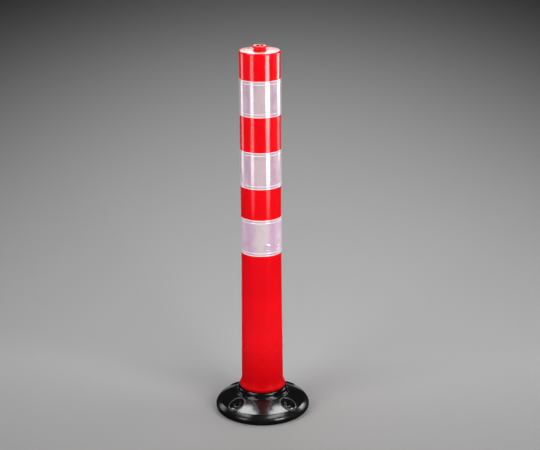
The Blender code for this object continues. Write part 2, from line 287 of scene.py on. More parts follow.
# Base colours, linear. Those in pairs are for the lower band, and for the middle band upwards.
RED_CLEAR, RED_CLOUD = (0.80, 0.0028, 0.0075), (0.73, 0.0022, 0.0065)
# Painted shade: the red darkened towards the foot of the tube.
RED_FOOT_SHADE = (0.50, 0.0014, 0.0036)
# Painted shade for the inside of the plug's pocket.
POCKET_SHADE = (0.04, 0.001, 0.001)
# Painted light: the film's colour going from beige at the front to pinkish at the sides, and a painted
# sheen at its rim.
FILM_FRONT = (0.655, 0.54, 0.565), (0.545, 0.42, 0.455)
FILM_SIDE = (0.57, 0.37, 0.495), (0.485, 0.325, 0.41)
FILM_RIM_SHEEN = (0.84, 0.65, 0.78), (0.68, 0.53, 0.61)
# The last colour here is a painted highlight: the flashes of light on the film's creases.
FILM_PATCH, FILM_BEADS, FILM_PAINTED_FLASH = (0.66, 0.40, 0.52), (0.74, 0.66, 0.70), (0.97, 0.93, 0.96)
# Pale borders: partly the film's lighter seal lines, partly painted highlight.
PALE_FRONT, PALE_SIDE = (0.95, 0.90, 0.90), (0.95, 0.84, 0.90)
RUBBER_CLEAR, RUBBER_CLOUD = (0.003, 0.003, 0.0032), (0.006, 0.006, 0.0065)
# Painted highlight: the grey ring round the lips of the anchor holes.
RUBBER_LIP_HIGHLIGHT = (0.055, 0.055, 0.056)
ZINC_COOL, ZINC_WARM = (0.60, 0.60, 0.61), (0.62, 0.61, 0.59)
# The floor's colour is painted light: a painted falloff to the sides and painted shadow in front of the
# post.
FLOOR_DARK, FLOOR_LIGHT = (0.03, 0.03, 0.03), (0.62, 0.62, 0.62)


class Nodes:
    """Short forms for building a node material. A value is a socket, a number or a colour."""

    def __init__(self, name):
        self.material = bpy.data.materials.new(name)
        self.material.use_nodes = True
        self.tree = self.material.node_tree
        self.shader = self.tree.nodes["Principled BSDF"]

    def add(self, kind, **values):
        node = self.tree.nodes.new(kind)
        for key, value in values.items():
            if key in node.inputs:
                node.inputs[key].default_value = value
            else:
                setattr(node, key, value)
        return node

    def feed(self, socket, value):
        if isinstance(value, bpy.types.NodeSocket):
            self.tree.links.new(value, socket)
        elif isinstance(value, tuple):
            socket.default_value = (*value, 1.0)
        else:
            socket.default_value = value

    def place(self):
        """Object coordinates: the shared frame at rest."""
        return self.add("ShaderNodeTexCoord").outputs["Object"]

    def split(self):
        """The object coordinates, one by one."""
        node = self.add("ShaderNodeSeparateXYZ")
        self.feed(node.inputs["Vector"], self.place())
        return node.outputs

    def noise(self, scale, detail=3.0, roughness=0.5):
        node = self.add("ShaderNodeTexNoise", Scale=scale, Detail=detail, Roughness=roughness)
        self.feed(node.inputs["Vector"], self.place())
        return node.outputs["Fac"]

    def spread(self, source, low, high, new_low=0.0, new_high=1.0):
        """source mapped from low..high to new_low..new_high, and held at the ends."""
        node = self.add("ShaderNodeMapRange")
        keys = ("Value", "From Min", "From Max", "To Min", "To Max")
        for key, value in zip(keys, (source, low, high, new_low, new_high)):
            self.feed(node.inputs[key], value)
        return node.outputs["Result"]

    def math(self, operation, *values):
        node = self.add("ShaderNodeMath", operation=operation)
        for socket, value in zip(node.inputs, values):
            self.feed(socket, value)
        return node.outputs["Value"]

    def product(self, first, *others):
        for other in others:
            first = self.math("MULTIPLY", first, other)
        return first

    def total(self, first, *others):
        for other in others:
            first = self.math("ADD", first, other)
        return first

    def length(self, a, b):
        return self.math("SQRT", self.total(self.product(a, a), self.product(b, b)))

    def mix(self, factor, a, b):
        node = self.add("ShaderNodeMix", data_type="RGBA")
        for key, value in (("Factor", factor), (6, a), (7, b)):
            self.feed(node.inputs[key], value)
        return node.outputs[2]

    def bump(self, height, distance, strength=1.0, after=None):
        node = self.add("ShaderNodeBump", Distance=distance, Strength=strength)
        self.feed(node.inputs["Height"], height)
        if after:
            self.feed(node.inputs["Normal"], after)
        return node.outputs["Normal"]

    def set(self, **values):
        for key, value in values.items():
            self.feed(self.shader.inputs[key.replace("_", " ")], value)


def red_plastic(name, pocket=None):
    """Glossy moulded red plastic with a faint orange-peel surface, duller on top and at the worn foot,
    its colour darkened towards the foot as painted shade.

    pocket is (radius, height): inside that radius and below that height the plastic is painted dark, as
    painted shade in the pocket.
    """
    n = Nodes(name)
    place = n.split()
    color = n.mix(n.spread(n.noise(18.0), 0.35, 0.65), RED_CLEAR, RED_CLOUD)
    # Painted shade: the colour darkens towards the foot.
    color = n.mix(n.spread(place["Z"], 70 * MM, 160 * MM, 1.0, 0.0), color, RED_FOOT_SHADE)
    side = n.spread(n.noise(60.0), 0.3, 0.7, 0.10, 0.15)
    top = n.spread(place["Z"], TOP_Z - 1.6 * MM, TOP_Z - 1.2 * MM, 0.0, 0.17)
    worn = n.spread(place["Z"], TAPER_BOTTOM_Z + 25 * MM, FLEX_TOP_Z + 100 * MM, 1.0, 0.0)
    rough = n.total(side, top, n.product(worn, 0.20))
    gloss = n.spread(worn, 0.0, 1.0, 0.5, 0.02)
    if pocket:
        radius, height = pocket
        distance = n.length(place["X"], place["Y"])
        within = n.spread(distance, radius + 0.1 * MM, radius + 0.4 * MM, 1.0, 0.0)
        below = n.spread(place["Z"], height - 0.2 * MM, height, 1.0, 0.0)
        beside_web = n.spread(n.math("ABSOLUTE", place["X"]), 1.1 * MM, 1.5 * MM)
        # Painted shade: the pocket's inside, beside the web, is darkened.
        pocket_shade = n.product(within, below, beside_web)
        color = n.mix(pocket_shade, color, POCKET_SHADE)
        gloss = n.spread(pocket_shade, 0.0, 1.0, 0.5, 0.05)
        rough = n.total(rough, n.product(pocket_shade, 0.5))
    n.set(Base_Color=color, Roughness=rough, IOR=1.50, Specular_IOR_Level=gloss)
    n.set(Normal=n.bump(n.noise(900.0, 2.0), 0.01 * MM, 0.5))
    return n.material


# Painted highlights, the flashes of light on creases in the lower band: along the arc from the front, up
# from the lower edge, half length and half width in millimetres, tilt in degrees.
PAINTED_CREASE_FLASHES = ((39.5, 19.0, 5.0, 1.9, 12), (39.0, 12.0, 6.0, 1.7, 10), (14.0, 12.5, 5.0, 0.7, -8))


def cos_sin(degrees):
    return math.cos(math.radians(degrees)), math.sin(math.radians(degrees))


def film(name, pale):
    """Retroreflective film under a clear glossy face. Its colour is painted light: beige along the
    front, pinkish at the sides, and on the main film a painted sheen at the rim.
    """
    n = Nodes(name)
    place = n.split()
    wander = n.spread(n.noise(40.0), 0.3, 0.7, -5 * MM, 5 * MM)
    aside = n.total(n.math("ABSOLUTE", place["X"]), wander)
    sides = n.spread(aside, 7 * MM, 17 * MM)
    if pale:
        # Partly the film's lighter seal lines, partly painted highlight.
        color = n.mix(sides, PALE_FRONT, PALE_SIDE)
    else:
        climb = n.spread(place["Z"], 380 * MM, 550 * MM)
        # Painted light: beige at the front, pinkish at the sides, and a painted sheen at the rim.
        front, side, rim = (n.mix(climb, *pair) for pair in (FILM_FRONT, FILM_SIDE, FILM_RIM_SHEEN))
        color = n.mix(n.spread(aside, 24 * MM, 38 * MM), n.mix(sides, front, side), rim)
        color = n.mix(n.spread(n.noise(90.0, 1.0), 0.56, 0.66, 0.0, 0.35), color, FILM_PATCH)
        angle = n.math("ARCTAN2", place["X"], n.product(place["Y"], -1.0))
        along = n.product(angle, TUBE_RADIUS)
        lower_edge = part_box("reflective_band_lower")[0].z
        # Painted highlights: white flashes where the creases catch the light.
        for u, v, length, width, tilt in PAINTED_CREASE_FLASHES:
            c, s = cos_sin(tilt)
            du = n.math("SUBTRACT", along, u * MM)
            dv = n.math("SUBTRACT", place["Z"], lower_edge + v * MM)
            lengthwise = n.total(n.product(du, c / length / MM), n.product(dv, s / length / MM))
            across = n.total(n.product(dv, c / width / MM), n.product(du, -s / width / MM))
            painted_flash = n.spread(n.length(lengthwise, across), 0.4, 1.3, 0.9, 0.0)
            color = n.mix(painted_flash, color, FILM_PAINTED_FLASH)
    color = n.mix(n.spread(n.noise(420.0, 2.0), 0.52, 0.72, 0.0, 0.30), color, FILM_BEADS)
    n.set(Base_Color=color, Roughness=0.17, IOR=1.85, Coat_Weight=1.0, Coat_Roughness=0.05)
    n.set(Sheen_Weight=0.6, Sheen_Roughness=0.4)
    n.set(Normal=n.bump(n.noise(700.0, 2.0), 0.008 * MM, 0.4))
    return n.material


def rubber(name, roughness, pebble, lip_highlight_dull_rim=False):
    """Black moulded rubber. pebble is the depth of its fine grain.

    scuffed paints a grey highlight round the lips of the anchor holes, and dulls the rim.
    """
    n = Nodes(name)
    color = n.mix(n.spread(n.noise(35.0), 0.35, 0.65), RUBBER_CLEAR, RUBBER_CLOUD)
    rough = n.spread(n.noise(220.0), 0.3, 0.7, roughness - 0.04, roughness + 0.04)
    if lip_highlight_dull_rim:
        place = n.split()
        offsets = (n.math("SUBTRACT", n.math("ABSOLUTE", place[axis]), abs(ANCHORS[0][i]))
                   for i, axis in enumerate("XY"))
        distance = n.length(*offsets)
        outside = n.math("SUBTRACT", distance, COUNTERBORE_RADIUS)
        start = n.spread(outside, 0.2 * MM, 0.6 * MM)
        end = n.spread(outside, 2.0 * MM, 4.0 * MM, 1.0, 0.0)
        # Painted highlight: a grey ring round the lip of each anchor hole.
        lip = n.product(start, end, n.spread(n.noise(160.0), 0.35, 0.65, 0.5, 1.0))
        color = n.mix(lip, color, RUBBER_LIP_HIGHLIGHT)
        rim = n.spread(n.length(place["X"], place["Y"]), 84 * MM, 91 * MM, 0.0, 0.08)
        rough = n.total(rough, rim, n.product(lip, 0.25))
    fine = n.bump(n.noise(1100.0, 3.0, 0.6), pebble)
    coarse = n.bump(n.noise(120.0, 2.0), 2 * pebble, 0.5, fine)
    n.set(Base_Color=color, Roughness=rough, IOR=1.5, Normal=coarse)
    return n.material


def zinc():
    """Zinc-plated steel with a faint passivated tint."""
    n = Nodes("zinc_steel")
    tint = n.mix(n.spread(n.noise(160.0), 0.35, 0.65), ZINC_COOL, ZINC_WARM)
    n.set(Base_Color=tint, Metallic=1.0, Roughness=n.spread(n.noise(400.0), 0.3, 0.7, 0.14, 0.24))
    n.set(Normal=n.bump(n.noise(1500.0, 2.0), 0.006 * MM))
    return n.material


RED = red_plastic("red_plastic")
RED_PLUG = red_plastic("red_plug", (8 * MM, plug_high.z - 0.2 * MM))
FILM = film("reflective_film", False)
FILM_BORDER = film("reflective_film_border", True)
BASE_RUBBER = rubber("black_rubber", 0.14, 0.006 * MM, lip_highlight_dull_rim=True)
COLLAR_RUBBER = rubber("black_collar", 0.13, 0.004 * MM)
ZINC = zinc()

# ---------------------------------------------------------------- tube

TUBE_SEGMENTS = 160
FLEX_STEP = 1.5 * MM  # height between rings where the tube bends


def ripple(angle, z):
    """Faint unevenness of the moulded tube wall."""
    at = Vector((math.cos(angle) * 1.6, math.sin(angle) * 1.6, z * 28))
    return 0.06 * MM * noise.noise(at) + 0.10 * MM * noise.noise(at * 0.35)


def ripple_above_lip(angle, z):
    return ripple(angle, z) if z > TAPER_BOTTOM_Z else 0.0


def bolt_holes():
    """Round holes, one at each CAD bolt."""
    return [circle(bolt, BOLT_HOLE_RADIUS, 40) for bolt in BOLTS]


def make_upper_tube():
    """The tube above the pivot, closed at the top round the hole for the plug."""
    shoulder = 3 * MM
    hole = 10.3 * MM
    flat, edge_z = TUBE_RADIUS - shoulder, TOP_Z - 1.2 * MM
    flex_top_r, pivot_r = tube_radius(FLEX_TOP_Z), tube_radius(PIVOT_Z)
    outer = joined(
        curve((hole, TOP_Z - 0.5 * MM), (hole, TOP_Z), (hole + 0.5 * MM, TOP_Z), 4),
        curve((hole + 0.5 * MM, TOP_Z), (flat / 2, TOP_Z), (flat, edge_z), 16),
        arc((flat, edge_z - shoulder), shoulder, 85, 0, 12),
        line((TUBE_RADIUS, edge_z - shoulder), (TUBE_RADIUS, TAPER_TOP_Z), 5 * MM),
        line((TUBE_RADIUS, TAPER_TOP_Z), (flex_top_r, FLEX_TOP_Z), 5 * MM),
        line((flex_top_r, FLEX_TOP_Z), (pivot_r, PIVOT_Z), FLEX_STEP),
    )
    inner_r, inner_top = TUBE_RADIUS - WALL, TOP_Z - WALL
    inner = joined(
        line((pivot_r - WALL, PIVOT_Z), (flex_top_r - WALL, FLEX_TOP_Z), FLEX_STEP),
        line((flex_top_r - WALL, FLEX_TOP_Z), (inner_r, TAPER_TOP_Z), 20 * MM),
        line((inner_r, TAPER_TOP_Z), (inner_r, inner_top), 40 * MM),
        [(inner_r, inner_top), (hole, inner_top)],
    )
    bm = bmesh.new()
    spin(bm, outer + inner, TUBE_SEGMENTS, closed=True,
         offset=lambda a, z: ripple(a, z) if z < TOP_Z - 2 * shoulder else 0.0)
    tube = finish_mesh("tube_upper", bm, RED)
    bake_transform(tube)
    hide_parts("post_tube")


def make_lower_tube():
    """The bending part below the pivot, the flared lip, and the skirt and flange in the collar."""
    pivot_r, inner_r = tube_radius(PIVOT_Z), TAPER_BOTTOM_RADIUS - WALL
    lip_r, lip_z, lip_bottom = foot_high.x, 57 * MM, 51.4 * MM
    nose = (lip_r - 0.1 * MM, lip_z)
    chin = (lip_r - 0.6 * MM, lip_z - 4 * MM)
    under = (lip_r - 2.4 * MM, lip_bottom)
    skirt = 42 * MM
    flange_top, flange_inner = foot_low.z + 6 * MM, 15.3 * MM
    outer = joined(
        line((pivot_r, PIVOT_Z), (TAPER_BOTTOM_RADIUS, TAPER_BOTTOM_Z), FLEX_STEP),
        curve((TAPER_BOTTOM_RADIUS, TAPER_BOTTOM_Z),
              (TAPER_BOTTOM_RADIUS + 0.3 * MM, lip_z + 7 * MM), nose, 14),
        curve(nose, (lip_r + 0.5 * MM, lip_z - 2 * MM), chin, 8),
        curve(chin, (lip_r - 1.2 * MM, lip_bottom), under, 6),
        [under, (skirt, lip_bottom)],
        line((skirt, lip_bottom), (skirt, foot_low.z), 5 * MM),
    )
    inner = joined(
        line((inner_r, flange_top), (inner_r, TAPER_BOTTOM_Z), 6 * MM),
        line((inner_r, TAPER_BOTTOM_Z), (pivot_r - WALL, PIVOT_Z), FLEX_STEP),
    )
    bm = bmesh.new()
    spin(bm, outer, TUBE_SEGMENTS, offset=ripple_above_lip)
    spin(bm, inner, TUBE_SEGMENTS, offset=ripple_above_lip)
    spin(bm, [(pivot_r, PIVOT_Z), (pivot_r - WALL, PIVOT_Z)], TUBE_SEGMENTS, offset=ripple)
    holes = bolt_holes()
    eye = circle((0, 0), flange_inner, TUBE_SEGMENTS)
    for radius, z in ((inner_r, flange_top), (skirt, foot_low.z)):
        sheet_with_holes(bm, circle((0, 0), radius, TUBE_SEGMENTS), eye, holes, z)
    for loop in (*holes, eye):
        wall(bm, loop, flange_top, foot_low.z)
    tube = finish_mesh("tube_lower", bm, RED)
    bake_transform(tube)
    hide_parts("post_foot", "flex_section")


def make_plug():
    """Push-in plug: mushroom head, pocket with a web across it, barbed shank."""
    head, top = plug_high.x, plug_high.z
    neck, shank, barb, pocket = 11.75 * MM, 10 * MM, 11.2 * MM, 8 * MM
    floor, under, barb_top = top - 5.5 * MM, top - 4 * MM, TOP_Z - WALL - GAP
    floor_r, mouth_r, rim_r, under_r = 0.8 * MM, 0.7 * MM, 1.7 * MM, 0.4 * MM
    outline = joined(
        [(0.0, floor), (pocket - floor_r, floor)],
        arc((pocket - floor_r, floor + floor_r), floor_r, -90, 0, 6),
        [(pocket, floor + floor_r), (pocket, top - mouth_r)],
        arc((pocket + mouth_r, top - mouth_r), mouth_r, 180, 90, 6),
        [(pocket + mouth_r, top), (head - rim_r, top)],
        arc((head - rim_r, top - rim_r), rim_r, 90, 0, 8),
        [(head, top - rim_r), (head, under + under_r)],
        arc((head - under_r, under + under_r), under_r, 0, -90, 5),
        curve((head - under_r, under), (neck, under), (neck, under - 1.2 * MM), 6),
        [(neck, under - 1.2 * MM), (neck, TOP_Z + GAP), (shank, TOP_Z + GAP), (shank, barb_top)],
        [(shank, barb_top), (barb, barb_top), (barb, barb_top - 1.5 * MM)],
        [(barb - 2 * MM, plug_low.z), (0.0, plug_low.z)],
    )
    bm = bmesh.new()
    spin(bm, outline, 96)
    plug = finish_mesh("plug", bm, RED_PLUG, 35)
    bm = bmesh.new()
    web_top = top - 1 * MM
    block(bm, 2 * MM, 2 * (pocket + 0.4 * MM), floor - 0.6 * MM, web_top)
    upper_edges = [e for e in bm.edges if all(v.co.z > web_top - 1e-6 for v in e.verts)]
    bmesh.ops.bevel(bm, geom=upper_edges, offset=0.5 * MM, segments=3, affect="EDGES")
    combine(plug, "UNION", finish_mesh("web_guide", bm, RED_PLUG))
    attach(plug, "post")
    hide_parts("top_plug")


# ---------------------------------------------------------------- reflective bands

BAND_SEGMENTS = 300
LAP_ANGLE = math.radians(96)
LAP_WIDTH = math.radians(16)
LAP_STEP = 0.35 * MM
# Depths from a band's cut edge, in millimetres: the end of the pale edge, and the pale seal line.
EDGE_END = 1.3
SEAL_START, SEAL_END = 5.6, 6.9
SLOPE = 0.2
# Creases in the lower band's film: along the arc from the front, up from the lower edge, half length
# and half width in millimetres, tilt in degrees, height in millimetres.
CREASES = (
    (14.0, 22.0, 6.0, 1.3, -12, 0.62),
    (15.0, 17.5, 4.5, 1.9, -18, -0.10),
    (39.5, 19.0, 5.0, 1.6, 12, 0.45),
    (39.0, 12.0, 6.0, 1.6, 10, 0.45),
    (28.0, 15.0, 4.0, 1.6, 40, -0.40),
    (-2.0, 12.5, 9.0, 1.4, 14, 0.35),
    (24.0, 14.0, 13.0, 9.0, 10, 0.35),
)


def lap(angle):
    """Radial step where the film's end laps over its start, at the back."""
    return LAP_STEP if 0 <= (angle - LAP_ANGLE) / LAP_WIDTH <= 1 else 0.0


def creasing(angle, height):
    """How far the creased film stands off the tube. height is from the band's lower edge."""
    along = ((angle + 1.5 * math.pi) % math.tau - math.pi) * TUBE_RADIUS / MM
    total = 0.0
    for u, v, length, width, tilt, lift in CREASES:
        c, s = cos_sin(tilt)
        du, dv = along - u, height / MM - v
        lengthwise, across = (du * c + dv * s) / length, (dv * c - du * s) / width
        total += lift * math.exp(-(lengthwise**2) - across**2)
    return total * MM


def make_band(name, creased=False):
    """A film band. Its cut edges and the seal lines inside them stand proud and are paler: partly the
    film's own lighter seal lines, partly painted highlight.
    """
    low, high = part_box(f"reflective_band_{name}")
    inner, outer = TUBE_RADIUS + GAP, high.x
    field = outer - 0.14 * MM
    edge = 0.25 * MM
    border = [(inner, 0.0), (outer - edge, 0.0), (outer - 0.3 * edge, 0.3 * edge), (outer, edge)]
    border += [(outer, (EDGE_END - SLOPE) * MM)]
    border += line((field, EDGE_END * MM), (field, SEAL_START * MM), 0.9 * MM)
    border += [(outer, (SEAL_START + SLOPE) * MM), (outer, (SEAL_END - SLOPE) * MM)]
    border += [(field, SEAL_END * MM)]
    outline = joined(
        [(r, high.z - depth) for r, depth in border],
        line((field, high.z - SEAL_END * MM), (field, low.z + SEAL_END * MM), 0.9 * MM),
        [(r, low.z + depth) for r, depth in reversed(border)],
    )
    bm = bmesh.new()
    spin(bm, outline, BAND_SEGMENTS, closed=True,
         offset=lambda a, z: lap(a) + (creasing(a, z - low.z) if creased else 0.0))
    band = finish_mesh(f"film_{name}", bm, FILM, 50)
    band.data.materials.append(FILM_BORDER)
    for face in band.data.polygons:
        depth = min(high.z - face.center.z, face.center.z - low.z) / MM
        if depth < EDGE_END or SEAL_START < depth < SEAL_END:
            face.material_index = 1
    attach(band, "post")
    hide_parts(f"reflective_band_{name}")


# ---------------------------------------------------------------- base and collar

BASE_SEGMENTS = 192
HOLE_SEGMENTS = 72
SEAM_RADIUS, SEAM_Z = 88 * MM, 22.8 * MM  # where the dome meets the rim
LIP = 1.2 * MM
BEAD_WIDTH = 3.6 * MM
BEAD_HEIGHT = 1.0 * MM
BEAD_TILT = 0.8 * MM
COUNTERBORE_FLOOR = 19.5 * MM
ANCHOR_BORE = 8.3 * MM


def dome_points(inner):
    """Points that shape the dome: rings round each anchor hole, and rings round the axis elsewhere."""
    limit = SEAM_RADIUS - 0.4 * MM
    points = []
    for c in ANCHORS:
        for angle in (15, 30, 45, 60, 75, 90):
            step = LIP * (1 - math.cos(math.radians(angle)))
            points += circle(c, COUNTERBORE_RADIUS + step, HOLE_SEGMENTS)
        for share in (0.5, 0.67, 0.84, 1.0):
            ring = circle(c, COUNTERBORE_RADIUS + BEAD_WIDTH * share, HOLE_SEGMENTS)
            points += [p for p in ring if math.hypot(*p) < limit]
    clear = COUNTERBORE_RADIUS + BEAD_WIDTH + 0.7 * MM
    ring_count = 19
    for i in range(1, ring_count + 1):
        radius = min(inner + (SEAM_RADIUS - inner) * i / ring_count, limit)
        ring = circle((0, 0), radius, BASE_SEGMENTS)
        points += [p for p in ring if min(math.dist(p, c) for c in ANCHORS) > clear]
    return points


def make_base():
    """The domed top with counterbored anchor holes, the round rim, and the recess and socket inside."""
    collar_r = collar_high.x + GAP
    rim_r, foot_r = base_high.x, 85 * MM
    dome = curve((collar_r, base_high.z), (72 * MM, 31.5 * MM), (SEAM_RADIUS, SEAM_Z), 60)
    dome_r, dome_z = np.array(dome).T

    def surface(x, y):
        """The dome, with a low bead round each anchor hole, highest on the hole's outer side."""
        z = float(np.interp(math.hypot(x, y), dome_r, dome_z))
        for c in ANCHORS:
            away = Vector((x, y)) - c
            d = away.length - COUNTERBORE_RADIUS
            if d < BEAD_WIDTH:
                share = 1 - max(0.0, d) / BEAD_WIDTH
                clear = min(1.0, max(0.0, (SEAM_RADIUS - math.hypot(x, y)) / LIP))
                height = BEAD_HEIGHT + BEAD_TILT * away.normalized().dot(c.normalized())
                z += height * ease(share) * ease(clear)
            if d < LIP:
                z -= LIP - math.sqrt(max(0.0, LIP**2 - (LIP - max(d, 0.0)) ** 2))
        return z

    def ring(r):
        return circle((0, 0), r, BASE_SEGMENTS)

    mouths = [circle(c, COUNTERBORE_RADIUS, HOLE_SEGMENTS) for c in ANCHORS]
    bores = [circle(c, ANCHOR_BORE, HOLE_SEGMENTS) for c in ANCHORS]
    bolts = bolt_holes()
    bm = bmesh.new()
    sheet_with_holes(bm, ring(SEAM_RADIUS), ring(collar_r), mouths, surface, dome_points(collar_r))
    for mouth, bore in zip(mouths, bores):
        wall(bm, mouth, surface, COUNTERBORE_FLOOR, 5)
        sheet_with_holes(bm, mouth, bore, [], COUNTERBORE_FLOOR)
        wall(bm, bore, COUNTERBORE_FLOOR, 0.0, 3)
    widest_z = 11 * MM
    spin(bm, joined(
        [(SEAM_RADIUS, SEAM_Z)],
        curve((SEAM_RADIUS + 0.3 * MM, SEAM_Z - 0.3 * MM), (rim_r, 14.5 * MM), (rim_r, widest_z), 24),
        curve((rim_r, widest_z), (rim_r, 0.0), (foot_r, 0.0), 20),
    ), BASE_SEGMENTS)
    recess, ceiling, drain, socket, seat = 50 * MM, 15 * MM, 13 * MM, 30 * MM, 35.7 * MM
    sheet_with_holes(bm, ring(foot_r), ring(recess), bores, 0.0)
    spin(bm, [(recess, 0.0), (recess, ceiling)], BASE_SEGMENTS)
    sheet_with_holes(bm, ring(recess), ring(drain), bolts, ceiling)
    spin(bm, [(drain, ceiling), (drain, socket)], BASE_SEGMENTS)
    for loop in bolts:
        wall(bm, loop, socket, ceiling)
    sheet_with_holes(bm, ring(SOCKET_RADIUS), ring(drain), bolts, socket)
    socket_wall = [(SOCKET_RADIUS, socket), (SOCKET_RADIUS, seat)]
    collar_seat = [(collar_r, seat), (collar_r, base_high.z)]
    spin(bm, socket_wall + collar_seat, BASE_SEGMENTS)
    base = finish_mesh("base", bm, BASE_RUBBER, 38)
    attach(base, "base")
    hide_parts("rubber_base")


def make_collar():
    """The round bead at the tube's foot, and the thin flange that carries it."""
    inner, outer = SOCKET_RADIUS, collar_high.x
    top, bottom = collar_high.z, collar_low.z
    bead, bead_r, bead_bottom = 3.6 * MM, 49.6 * MM, 43.5 * MM
    flange_z = 38.8 * MM
    edge, mouth_r = 0.8 * MM, 1.2 * MM
    outline = joined(
        curve((inner, top - mouth_r), (inner, top), (inner + mouth_r, top), 5),
        [(inner + mouth_r, top), (bead_r - bead, top)],
        arc((bead_r - bead, top - bead), bead, 90, 0, 14),
        [(bead_r, top - bead), (bead_r, bead_bottom)],
        curve((bead_r, bead_bottom), (bead_r + 0.6 * MM, flange_z + 0.6 * MM),
              (outer - edge, flange_z), 12),
        arc((outer - edge, flange_z - edge), edge, 90, 0, 6),
        [(outer, flange_z - edge), (outer, bottom), (inner, bottom)],
    )
    bm = bmesh.new()
    spin(bm, outline, BASE_SEGMENTS, closed=True)
    collar = finish_mesh("collar", bm, COLLAR_RUBBER, 40)
    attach(collar, "base")
    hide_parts("retaining_collar")


# ---------------------------------------------------------------- steel pieces

SMALL_SEGMENTS = 72


def ride_as(obj, node):
    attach(obj, "base")
    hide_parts(node)


def copy_at(mesh, name, node):
    """A copy of a steel piece made about the Z axis, moved to its CAD node's place."""
    obj = add_object(name, mesh)
    obj.location = (*centre_of(node).xy, 0.0)
    ride_as(obj, node)


def mesh_of(obj):
    mesh = obj.data
    bpy.data.objects.remove(obj)
    return mesh


def sleeve_mesh():
    """A steel sleeve with a flange on top, its edges rounded."""
    low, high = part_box("anchor_sleeve_1")
    outer, tube, bore = (high.x - low.x) / 2, 8 * MM, 6.5 * MM
    seat = COUNTERBORE_FLOOR + GAP
    e = 0.4 * MM
    outline = joined(
        curve((bore, high.z - e), (bore, high.z), (bore + e, high.z), 4),
        [(bore + e, high.z), (outer - e, high.z)],
        arc((outer - e, high.z - e), e, 90, 0, 5),
        [(outer, high.z - e), (outer, seat), (tube, seat), (tube, low.z), (bore, low.z)],
    )
    bm = bmesh.new()
    spin(bm, outline, SMALL_SEGMENTS, closed=True)
    return mesh_of(finish_mesh("sleeve_mesh", bm, ZINC))


def bolt_mesh():
    """Carriage bolt with a domed head, a square neck and a real thread on its lower end."""
    low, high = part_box("foot_bolt_1")
    head_r, head_z = (high.x - low.x) / 2, high.z - 4.5 * MM
    shank, root = 4 * MM, 3.4 * MM
    pitch, thread_top = 1.25 * MM, low.z + 16 * MM

    def thread(angle, z):
        if z > thread_top or z < low.z + 0.2 * MM:
            return 0.0
        phase = (z / pitch - angle / math.tau) % 1.0
        depth = min(1.0, (thread_top - z) / (2 * MM), (z - low.z) / MM)
        return -(shank - root) * depth * abs(2 * phase - 1)

    outline = joined(
        curve((0.0, high.z), (head_r * 0.72, high.z), (head_r, head_z + 0.5 * MM), 14),
        [(head_r, head_z + 0.5 * MM), (head_r - 0.3 * MM, head_z), (shank, head_z)],
        line((shank, head_z), (shank, thread_top), 6 * MM),
        line((shank, thread_top), (shank, low.z + 0.8 * MM), pitch / 8),
        [(shank, low.z + 0.8 * MM), (root, low.z), (0.0, low.z)],
    )
    bm = bmesh.new()
    spin(bm, outline, 40, offset=thread)
    bolt = finish_mesh("bolt_mesh", bm, ZINC)
    bm = bmesh.new()
    block(bm, 8 * MM, 8 * MM, head_z - 4.5 * MM, head_z + 0.5 * MM)
    upright = [e for e in bm.edges if e.verts[0].co.xy == e.verts[1].co.xy]
    bmesh.ops.bevel(bm, geom=upright, offset=0.5 * MM, segments=3, affect="EDGES")
    combine(bolt, "UNION", finish_mesh("neck_guide", bm, ZINC))
    return mesh_of(bolt)


def nut_mesh():
    """A hexagon nut: a chamfered ring cut down to six sides."""
    low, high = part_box("foot_nut_1")
    corner = (high.y - low.y) / 2
    bore, bevel, chamfer = 4.3 * MM, 0.5 * MM, 0.8 * MM
    wide = corner + GAP
    outline = [
        (bore + bevel, high.z), (corner - chamfer, high.z), (wide, high.z - chamfer),
        (wide, low.z + chamfer), (corner - chamfer, low.z), (bore + bevel, low.z),
        (bore, low.z + bevel), (bore, high.z - bevel),
    ]
    bm = bmesh.new()
    spin(bm, outline, SMALL_SEGMENTS, closed=True)
    nut = finish_mesh("nut_mesh", bm, ZINC, 30)
    bm = bmesh.new()
    bmesh.ops.create_cone(bm, cap_ends=True, segments=6, radius1=corner, radius2=corner, depth=0.1)
    hexagon = finish_mesh("hexagon_guide", bm, ZINC)
    if abs(max(v.co.y for v in hexagon.data.vertices) - corner) > 0.1 * MM:
        hexagon.rotation_euler.z = math.radians(30)
    combine(nut, "INTERSECT", hexagon)
    return mesh_of(nut)


def washer_mesh():
    low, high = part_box("foot_washer_1")
    outer, bore, e = (high.x - low.x) / 2, BOLT_HOLE_RADIUS, 0.25 * MM
    outline = [
        (bore, high.z), (outer - e, high.z), (outer, high.z - e),
        (outer, low.z + e), (outer - e, low.z), (bore, low.z),
    ]
    bm = bmesh.new()
    spin(bm, outline, SMALL_SEGMENTS, closed=True)
    return mesh_of(finish_mesh("washer_mesh", bm, ZINC, 30))


def make_steel_disc(name, node, holes):
    """A flat steel ring with holes and chamfered edges, as thick as its CAD node."""
    low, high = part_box(node)
    inner, outer, e = 16 * MM, high.x, 0.4 * MM
    bm = bmesh.new()
    rim = circle((0, 0), outer - e, BASE_SEGMENTS)
    eye = circle((0, 0), inner + e, BASE_SEGMENTS)
    for z in (high.z, low.z):
        sheet_with_holes(bm, rim, eye, holes, z)
    for edge, chamfered in ((outer, outer - e), (inner, inner + e)):
        outline = [(chamfered, high.z), (edge, high.z - e), (edge, low.z + e), (chamfered, low.z)]
        spin(bm, outline, BASE_SEGMENTS)
    for loop in holes:
        wall(bm, loop, high.z, low.z)
    ride_as(finish_mesh(name, bm, ZINC, 30), node)


